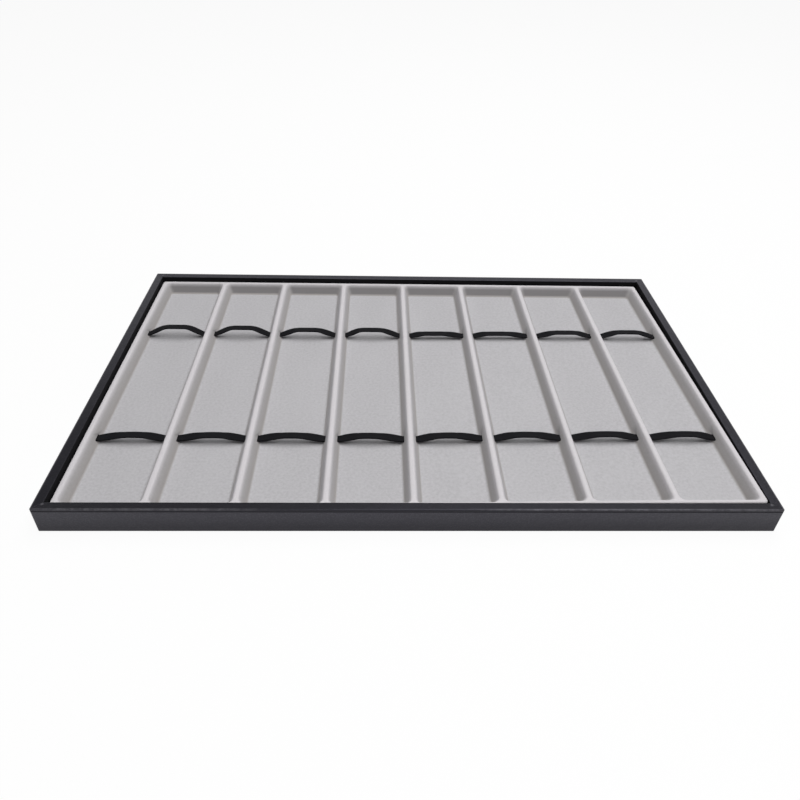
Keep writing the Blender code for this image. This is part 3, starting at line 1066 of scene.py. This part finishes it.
@dataclass
class FlockedInsert:
    """The one-piece insert, formed as a thin sheet with eight compartments."""

    low: Vector
    high: Vector
    compartments: int = 8
    sheet: float = 0.95 * MM
    side_land: float = 3.4 * MM
    end_land: float = 2.6 * MM
    divider_top: float = 3.0 * MM
    wall_draft: float = math.radians(24.0)
    skirt_draft: float = math.radians(2.0)
    lip_radius: float = 1.7 * MM
    foot_radius: float = 2.4 * MM
    hem_radius: float = 1.0 * MM
    outer_corner: float = 2.8 * MM
    lip_corner: float = 3.8 * MM
    floor: float = 5.4 * MM
    cut_gap: float = 14.0 * MM
    # How much steeper a rear wall counts, for its painted shade.
    rear_shade_boost: float = 0.6
    arc_steps: int = 6
    corner_steps: int = 8
    smooth_angle: float = 50.0
    insert: Piece = field(init=False)

    @property
    def pitch(self) -> float:
        """The distance between the middles of two compartments."""
        length = self.high.x - self.low.x - 2.0 * self.side_land
        return (length + self.divider_top) / self.compartments

    @property
    def centres(self) -> list[float]:
        """The X of each compartment's middle, from left to right."""
        first = -self.pitch * (self.compartments - 1) / 2.0
        return [first + self.pitch * index for index in range(self.compartments)]

    @property
    def half_width(self) -> float:
        """Half of a compartment's width between its lips."""
        return (self.pitch - self.divider_top) / 2.0

    def wall_at(self, height: float) -> float:
        """Return how far a side wall is from the compartment's middle at a height."""
        return self.half_width - (self.high.z - height) * math.tan(self.wall_draft)

    def build(self, slits: Sequence[tuple[Vector, Vector]]) -> Piece:
        """Model the sheet.

        Args:
            slits: The lowest and highest corner of each bar that opens a band's slits.

        Returns:
            The finished piece.
        """
        self.insert = self._skirt()
        join([self.insert, *self._compartments()])
        self._fill_top()
        with EditSession(self.insert) as bench:
            bench.cut(1, spaced(self.low.y, self.high.y, self.cut_gap))
        even = {"use_even_offset": True, "use_quality_normals": True}
        apply_modifier(self.insert, "SOLIDIFY", thickness=self.sheet, offset=-1.0, **even)
        self._open_slits(slits)
        smooth(self.insert, self.smooth_angle)
        self._mark_walls()
        return self.insert

    def _mark_walls(self) -> None:
        """Store how steep and how deep the sheet is at each point, for its finish.

        A rear wall counts as steeper than it is, so that its finish paints more shade on it.
        """
        attributes = self.insert.data.attributes
        for name in (STEEPNESS, DEPTH):
            attributes.new(name, "FLOAT", "POINT")
        steepness, depth = attributes[STEEPNESS].data, attributes[DEPTH].data
        for vertex in self.insert.data.vertices:
            # A wall facing the front counts steeper, for its painted shade.
            rear_shade = self.rear_shade_boost * max(-vertex.normal.y, 0.0)
            steepness[vertex.index].value = 1.0 - abs(vertex.normal.z) + rear_shade
            below = (self.high.z - vertex.co.z) / (self.high.z - self.floor)
            depth[vertex.index].value = below

    def _bend(
        self, middle: Point, across: float, up: float, angles: tuple[float, float]
    ) -> list[Point]:
        """Round an edge of the sheet.

        Args:
            middle: The inset and height where the rounding would be level.
            across: Its radius, negative where it lies outside the middle.
            up: Its radius, negative where it lies below the middle.
            angles: Its slope where it starts and where it ends.

        Returns:
            Its (inset, height) points.
        """
        return [
            (middle[0] + across * math.sin(angle), middle[1] + up * (1.0 - math.cos(angle)))
            for angle in arc(*angles, self.arc_steps)
        ]

    def _skirt_profile(self) -> list[Point]:
        """Draw the skirt and its rounded top.

        Returns:
            The (inset, height) points from the hem up to the flat top.
        """
        turn = math.pi / 2.0 - self.skirt_draft
        top_inset = (self.high.z - self.low.z) * math.tan(self.skirt_draft)
        middle = (top_inset + self.hem_radius * math.tan(turn / 2.0), self.high.z)
        rounding = self._bend(middle, -self.hem_radius, -self.hem_radius, (turn, 0.0))
        return [(0.0, self.low.z), *rounding]

    def _wall_profiles(self) -> tuple[list[Point], list[Point]]:
        """Draw the two roundings of a compartment's wall.

        Returns:
            The (inset from the lip, height) points over the lip, and those of the foot.
        """
        turn = math.pi / 2.0 - self.wall_draft
        half_turn = math.tan(turn / 2.0)
        lip = (-self.lip_radius * half_turn, self.high.z)
        foot_inset = (self.high.z - self.floor) * math.tan(self.wall_draft)
        foot = (foot_inset + self.foot_radius * half_turn, self.floor)
        return (
            self._bend(lip, self.lip_radius, -self.lip_radius, (0.0, turn)),
            self._bend(foot, -self.foot_radius, self.foot_radius, (turn, 0.0)),
        )

    def _rounded(self, name: str, half: Point, radius: float, centre: Vector) -> Piece:
        """Add a level rounded rectangle of one face.

        Args:
            name: The new object's name.
            half: Half its length along X and Y.
            radius: The radius of its corners.
            centre: Its middle.

        Returns:
            The new object.
        """
        plate = add_plate(name, (2.0 * half[0], 2.0 * half[1]), centre)
        with EditSession(plate) as bench:
            bench.pick_all(Part.VERTEX)
            bench.bevel(radius, self.corner_steps, Part.VERTEX)
        return plate

    def _skirt(self) -> Piece:
        """Model the outer skirt.

        Returns:
            The skirt, open at the top.
        """
        centre = Vector((0.0, 0.0, self.low.z))
        half = (self.high.x, self.high.y)
        skirt = self._rounded("formed_insert", half, self.outer_corner, centre)
        with EditSession(skirt) as bench:
            bench.pick_all(Part.FACE)
            bench.follow(self._skirt_profile())
            bench.open()
        return skirt

    def _compartments(self) -> list[Piece]:
        """Model one compartment and copy it along the insert.

        Returns:
            Every compartment, from left to right.
        """
        lip, foot = self._wall_profiles()
        start = lip[0][0]
        full = (self.half_width, self.high.y - self.end_land)
        half = (full[0] - start, full[1] - start)
        centre = Vector((self.centres[0], 0.0, self.high.z))
        first = self._rounded("compartment", half, self.lip_corner - start, centre)
        upper, lower = lip[-1], foot[0]
        factors = tuple((side - lower[0]) / (side - upper[0]) for side in full)
        with EditSession(first) as bench:
            bench.pick_all(Part.FACE)
            bench.follow(lip)
            bench.extrude(Vector((0.0, 0.0, lower[1] - upper[1])))
            bench.shrink(factors, centre)
            bench.follow(foot)
        others = range(1, self.compartments)
        shifts = [Vector((self.pitch * index, 0.0, 0.0)) for index in others]
        return [first, *(copy_of(first, "compartment_copy", shift) for shift in shifts)]

    def _fill_top(self) -> None:
        """Fill the flat top between the skirt and the lips."""
        with EditSession(self.insert) as bench:
            bench.pick(Part.EDGE, lambda edge: edge.is_boundary and lies_at(edge, self.high.z))
            bpy.ops.mesh.fill(use_beauty=True)
            if bench.pick(Part.FACE, lambda face: face.normal.z < -FACES_UP):
                bpy.ops.mesh.flip_normals()

    def _open_slits(self, slits: Sequence[tuple[Vector, Vector]]) -> None:
        """Cut the bands' slits through the walls.

        Args:
            slits: The lowest and highest corner of each bar.
        """
        bars = [add_block("slit_bar", low, high) for low, high in slits]
        join(bars)
        cutter = {"solver": "EXACT", "object": bars[0]}
        apply_modifier(self.insert, "BOOLEAN", operation="DIFFERENCE", **cutter)
        discard(bars[0])


def side_on(x: float, z: float) -> Vector:
    """Return a point of the upright plane through the middle of the tray."""
    return Vector((x, 0.0, z))


@dataclass
class ElasticBand:
    """One flat elastic, threaded through two slits and arched between them."""

    rise: float
    crown_half: float
    crown_reach: float
    slit_height: float
    wall_face: float
    wall_draft: float
    sheet: float
    width: float
    thickness: float = 0.95 * MM
    gap: float = 0.3 * MM
    tail: float = 3.0 * MM
    tail_bend: float = 0.9 * MM
    foot_bend: float = 2.0 * MM
    leg_start: float = 0.4 * MM
    leg_cut: float = 1.2 * MM
    ribs: int = 6
    rib_depth: float = 0.06 * MM
    twist: float = math.radians(10.0)
    step_angle: float = 7.0
    smooth_angle: float = 60.0

    @property
    def leg(self) -> Point:
        """Where a leg starts and ends, as distances from the band's middle."""
        return self.crown_half, self.wall_face - self.leg_start

    def corners(self) -> list[Bend]:
        """Lay out the centre line.

        Returns:
            Its (x, z, bend radius) corners from left to right.
        """
        set_back = (self.sheet + self.gap + self.thickness / 2.0) / math.cos(self.wall_draft)
        tail_foot = self.wall_face + set_back
        start, end = self.leg
        slope = math.atan2(self.rise, end - start)
        tail_x = tail_foot + self.tail * math.sin(self.wall_draft)
        tail_z = self.slit_height + self.tail * math.cos(self.wall_draft)
        right = [
            (start, self.slit_height + self.rise, self.crown_reach / math.tan(slope / 2.0)),
            (end, self.slit_height, self.foot_bend),
            (tail_foot, self.slit_height, self.tail_bend),
            (tail_x, tail_z, 0.0),
        ]
        return [(-x, z, radius) for x, z, radius in reversed(right)] + right

    def build(self, name: str) -> Piece:
        """Model the band at the middle of the tray.

        Args:
            name: The piece's name.

        Returns:
            The finished piece.
        """
        corners = self.corners()
        first, second = corners[0], corners[1]
        heading = math.atan2(second[1] - first[1], second[0] - first[0])
        walked = side_on(*first[:2])
        band = self._section(name, walked, heading)
        with EditSession(band) as bench:
            bench.pick_all(Part.FACE)
            for before, corner, after in zip(corners, corners[1:], corners[2:]):
                walked = self._lay_corner(bench, walked, before, corner, after)
            bench.extrude(side_on(*corners[-1][:2]) - walked)
            bench.cut(0, mirrored(spaced(*self.leg, self.leg_cut)))
            bench.face_outwards()
        self._twist_legs(band)
        smooth(band, self.smooth_angle)
        return band

    def lean(self, piece: Piece, shift: float) -> None:
        """Move the crown of a copy sideways, with the ends kept in their slits.

        Args:
            piece: A copy that is still at the middle of the tray.
            shift: How far the crown moves along X.
        """
        start, end = self.leg
        for vertex in piece.data.vertices:
            vertex.co.x += shift * unit((end - abs(vertex.co.x)) / (end - start))

    def _twist_legs(self, band: Piece) -> None:
        """Turn each leg's front edge down a little, most at its middle.

        Args:
            band: The band to turn.
        """
        start, end = self.leg
        for vertex in band.data.vertices:
            along = (abs(vertex.co.x) - start) / (end - start)
            if 0.0 < along < 1.0:
                vertex.co.z += math.tan(self.twist) * math.sin(math.pi * along) * vertex.co.y

    def _section(self, name: str, place: Vector, heading: float) -> Piece:
        """Add the ribbed cross-section that the band is drawn out from.

        Args:
            name: The new object's name.
            place: Where the band starts.
            heading: How steeply it sets out.

        Returns:
            The new object.
        """
        release_selection()
        bpy.ops.mesh.primitive_grid_add(x_subdivisions=1, y_subdivisions=2 * self.ribs, size=1.0)
        section = named(name, (self.thickness, self.width, 1.0))
        step = self.width / (2 * self.ribs)
        for vertex in section.data.vertices:
            index = round((vertex.co.y + self.width / 2.0) / step)
            if index % 2 == 0:
                vertex.co.x -= math.copysign(self.rib_depth, vertex.co.x)
        upright = Matrix.Rotation(-math.pi / 2.0, 4, "Y")
        turned = Matrix.Rotation(-heading, 4, "Y")
        section.data.transform(Matrix.Translation(place) @ turned @ upright)
        return section

    def _lay_corner(
        self, bench: EditSession, walked: Vector, before: Bend, corner: Bend, after: Bend
    ) -> Vector:
        """Draw the band straight up to a bend and then round it.

        Args:
            bench: The open edit session.
            walked: Where the band has got to.
            before: The corner before this one.
            corner: The corner to go round.
            after: The corner after this one.

        Returns:
            Where the band has got to after the bend.
        """
        heading_in = math.atan2(corner[1] - before[1], corner[0] - before[0])
        heading_out = math.atan2(after[1] - corner[1], after[0] - corner[0])
        turn = heading_out - heading_in
        way = Turn.UP if turn > 0.0 else Turn.DOWN
        reach = corner[2] * math.tan(abs(turn) / 2.0)
        middle = side_on(*corner[:2])
        start = middle - reach * side_on(math.cos(heading_in), math.sin(heading_in))
        bench.extrude(start - walked)
        side = side_on(-math.sin(heading_in), math.cos(heading_in)) * way.value
        steps = max(4, math.ceil(math.degrees(abs(turn)) / self.step_angle))
        bpy.ops.mesh.spin(
            steps=steps,
            angle=abs(turn),
            center=start + side * corner[2],
            axis=Vector((0.0, way.value, 0.0)),
        )
        return middle + reach * side_on(math.cos(heading_out), math.sin(heading_out))


@dataclass
class BandRow:
    """One row of elastic bands, one in each compartment."""

    name: str
    place_y: float
    rises: tuple[float, ...]
    leans: tuple[float, ...]
    crown_half: float
    crown_reach: float


@dataclass
class FeltLiner:
    """The felt in the window that the turned-in wrap leaves."""

    low: Vector
    high: Vector
    corner: float = 2.0 * MM
    soft_edge: float = 0.25 * MM
    smooth_angle: float = 40.0

    def build(self) -> Piece:
        """Model the felt.

        Returns:
            The finished piece.
        """
        felt = add_block("felt_liner", self.low, self.high)
        with EditSession(felt) as bench:
            bench.pick(Part.EDGE, lambda edge: drop(edge) > TOUCH)
            bench.bevel(self.corner, segments=6)
            bench.pick(Part.FACE, lambda face: abs(face.normal.z) > FACES_UP)
            bench.inset(self.soft_edge * 2.0)
            bench.pick(Part.EDGE, self._on_outline)
            bench.bevel(self.soft_edge, segments=3)
        smooth(felt, self.smooth_angle)
        return felt

    def _on_outline(self, edge: Edge) -> bool:
        """Say whether an edge runs round the felt's outline, above or below."""
        stands = any(abs(face.normal.z) < STANDS for face in edge.link_faces)
        return stands and drop(edge) < TOUCH


@dataclass(frozen=True)
class PhotoCamera:
    """The camera that took the photograph, as fitted to the tray's corners."""

    name: str = "photo_camera"
    focal_pixels: float = 688.80
    pitch: float = math.radians(37.966)
    yaw: float = math.radians(-2.205)
    roll: float = math.radians(1.691)
    place: Vector = Vector((-19.72 * MM, -409.37 * MM, 307.40 * MM))
    sensor: float = 36.0
    clip: float = 10.0 * MM

    def build(self) -> None:
        """Place the camera and make it the scene's own."""
        ahead = Vector((
            -math.sin(self.yaw) * math.cos(self.pitch),
            math.cos(self.yaw) * math.cos(self.pitch),
            -math.sin(self.pitch),
        ))
        level_right = Vector((math.cos(self.yaw), math.sin(self.yaw), 0.0))
        level_up = level_right.cross(ahead)
        right = level_right * math.cos(self.roll) + level_up * math.sin(self.roll)
        up = level_up * math.cos(self.roll) - level_right * math.sin(self.roll)
        turned = Matrix((right, up, -ahead)).transposed().to_4x4()
        lens = bpy.data.cameras.new(self.name)
        lens.sensor_fit = "HORIZONTAL"
        lens.sensor_width = self.sensor
        lens.lens = self.focal_pixels * self.sensor / IMAGE_SIDE
        lens.clip_start = self.clip
        camera = bpy.data.objects.new(self.name, lens)
        camera.matrix_world = Matrix.Translation(self.place) @ turned
        bpy.context.scene.collection.objects.link(camera)
        bpy.context.scene.camera = camera


@dataclass(frozen=True)
class SoftLamp:
    """The large soft lamp above the tray, aimed at it."""

    name: str = "overhead_softbox"
    place: Vector = Vector((0.25, -0.02, 1.30))
    size: Point = (2.0, 0.9)
    power: float = 21.2

    def build(self) -> None:
        """Place the lamp."""
        light = bpy.data.lights.new(self.name, "AREA")
        light.shape = "RECTANGLE"
        light.size, light.size_y = self.size
        light.energy = self.power
        lamp = bpy.data.objects.new(self.name, light)
        lamp.location = self.place
        lamp.rotation_euler = (-self.place).to_track_quat("-Z", "Y").to_euler()
        bpy.context.scene.collection.objects.link(lamp)


@dataclass
class Studio:
    """The white sweep, the lamp and the surroundings."""

    floor_side: float = 6.0
    drop: float = 0.05 * MM
    floor_tone: Color = (0.92, 0.92, 0.92)
    floor_swatch: Color = (0.90, 0.90, 0.90)
    floor_glow: float = 0.93
    ambient: float = 0.18
    ceiling: float = 0.30
    horizon: Point = (0.15, 0.60)

    def build(self) -> Piece:
        """Build the surroundings.

        Returns:
            The floor, which is stage and no part of the tray.
        """
        SoftLamp().build()
        self._surround()
        size = (self.floor_side, self.floor_side)
        floor = add_plate("studio_floor", size, Vector((0.0, 0.0, -self.drop)))
        dress(floor, self._floor_finish())
        bpy.context.scene.view_settings.view_transform = "Standard"
        return floor

    def _floor_finish(self) -> Material:
        """Build white paper that is seen as white and keeps a soft shadow.

        Returns:
            The finished material.
        """
        graph = ShaderGraph("studio_paper", self.floor_swatch)
        paper = graph.add("ShaderNodeBsdfDiffuse", {"Color": opaque(self.floor_tone)})
        glow = graph.add("ShaderNodeEmission", {"Color": WHITE, "Strength": 1.0})
        share = graph.seen() * self.floor_glow
        sides = {0: share, 1: paper.outputs[0], 2: glow.outputs[0]}
        graph.show(graph.add("ShaderNodeMixShader", sides))
        return graph.material

    def _surround(self) -> None:
        """Surround the tray with white that is seen to dim overhead."""
        world = bpy.data.worlds.new("studio_surround")
        bpy.context.scene.world = world
        world.use_nodes = True
        graph = NodeGraph(world.node_tree, "ShaderNodeOutputWorld")
        _, _, upward = graph.axes()
        backdrop = 1.0 - upward.fade(*self.horizon) * (1.0 - self.ceiling)
        seen = graph.seen()
        strength = seen * backdrop + (1.0 - seen) * self.ambient
        graph.show(graph.add("ShaderNodeBackground", {"Color": WHITE, "Strength": strength}))


@dataclass
class WatchTray:
    """The whole tray, piece by piece."""

    nodes: dict[str, Piece]
    slit_height: float = 8.0 * MM
    slit_opening: float = 1.6 * MM
    band_width: float = 5.4 * MM
    slit_end_gap: float = 0.4 * MM
    slit_stop: float = 1.0 * MM
    rows: tuple[BandRow, ...] = (
        BandRow(
            "front",
            -68.0 * MM,
            in_mm(*(2.9,) * 8),
            in_mm(1.6, 1.2, 0.0, -1.5, -1.4, -1.9, 0.8, 2.2),
            crown_half=6.5 * MM,
            crown_reach=5.0 * MM,
        ),
        BandRow(
            "rear",
            58.0 * MM,
            in_mm(6.3, 6.0, 4.6, 5.1, 1.9, 2.0, 3.3, 4.0),
            in_mm(0.8, 0.4, 0.0, -1.2, -2.0, -2.0, 0.8, -0.3),
            crown_half=8.7 * MM,
            crown_reach=3.4 * MM,
        ),
    )

    def build(self) -> None:
        """Build and dress every piece in order."""
        low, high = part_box("flocked_insert")
        insert = FlockedInsert(low, high)
        creep = CornerCreep(high.x, high.y)
        self._rim(low.z)
        self._insert(insert, creep)
        self._bands(insert, creep)
        self._felt()
        self._boards()

    def _register(self, piece: Piece, node: str) -> None:
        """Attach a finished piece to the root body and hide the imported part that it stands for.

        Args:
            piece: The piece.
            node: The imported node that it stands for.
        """
        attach(piece, "root")
        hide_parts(node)
        LOG.info("%s stands for %s with %d faces", piece.name, node, len(piece.data.polygons))

    def _rim(self, seat: float) -> None:
        """Build the rim's covering.

        Args:
            seat: The height at which its inner wall ends.
        """
        low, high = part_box("leatherette_wrap")
        rim = WrappedRim(low, high, seat)
        wrap = rim.build()
        leatherette = LeatheretteFinish().material(high, rim.tuck_inset, rim.tuck_reach)
        # The inner wall takes the matt black painted shade for the gap above the insert; the log
        # counts its faces.
        dress(wrap, leatherette, InnerWallShadeFinish().material())
        LOG.info("inner wall lined on %d faces", rim.shade_inner_wall())
        self._register(wrap, "leatherette_wrap")

    def _insert(self, insert: FlockedInsert, creep: CornerCreep) -> None:
        """Build the flocked insert.

        Args:
            insert: Its sizes.
            creep: How it has moved in its seat.
        """
        reach = Vector((
            insert.pitch / 2.0 - self.slit_stop,
            self.band_width / 2.0 + self.slit_end_gap,
            self.slit_opening / 2.0,
        ))
        middles = [
            Vector((x, row.place_y, self.slit_height)) for row in self.rows for x in insert.centres
        ]
        piece = insert.build([(middle - reach, middle + reach) for middle in middles])
        creep.apply(piece)
        dress(piece, FlockFinish().material())
        self._register(piece, "flocked_insert")

    def _bands(self, insert: FlockedInsert, creep: CornerCreep) -> None:
        """Build both rows of bands, with one pattern for each height of crown.

        Args:
            insert: The sizes of the insert that they are threaded through.
            creep: How it has moved in its seat, and the bands with it.
        """
        elastic = ElasticFinish().material()
        for row in self.rows:
            patterns = {}
            places = zip(insert.centres, row.rises, row.leans)
            for number, (centre_x, rise, lean) in enumerate(places, start=1):
                band = self._band(insert, row, rise)
                if rise not in patterns:
                    patterns[rise] = band.build(f"pattern_{number}")
                name = f"{row.name}_{number}"
                piece = copy_of(patterns[rise], f"band_{name}", Vector((0.0, 0.0, 0.0)))
                band.lean(piece, lean)
                piece.data.transform(Matrix.Translation((centre_x, row.place_y, 0.0)))
                creep.apply(piece)
                dress(piece, elastic)
                self._register(piece, f"elastic_band_{name}")
            for pattern in patterns.values():
                discard(pattern)

    def _band(self, insert: FlockedInsert, row: BandRow, rise: float) -> ElasticBand:
        """Work out the sizes of one band.

        Args:
            insert: The sizes of the insert that it is threaded through.
            row: The row that it is in.
            rise: How far its crown stands above its slits.

        Returns:
            The band's sizes.
        """
        return ElasticBand(
            rise=rise,
            crown_half=row.crown_half,
            crown_reach=row.crown_reach,
            slit_height=self.slit_height,
            wall_face=insert.wall_at(self.slit_height),
            wall_draft=insert.wall_draft,
            sheet=insert.sheet,
            width=self.band_width,
        )

    def _felt(self) -> None:
        """Build the felt under the tray."""
        felt = FeltLiner(*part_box("underside_liner")).build()
        dress(felt, FeltFinish().material())
        self._register(felt, "underside_liner")

    def _boards(self) -> None:
        """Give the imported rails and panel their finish."""
        board = FibreboardFinish().material()
        for name in ("front_rail", "rear_rail", "left_rail", "right_rail", "base_panel"):
            dress(self.nodes[name], board)
            LOG.info("%s keeps its packed shape", name)


def main() -> None:
    """Build the tray and the studio."""
    logging.basicConfig(level=logging.INFO, format="%(message)s")
    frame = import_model()
    PhotoCamera().build()
    WatchTray(frame["nodes"]).build()
    Studio().build()


if __name__ == "__main__":
    main()
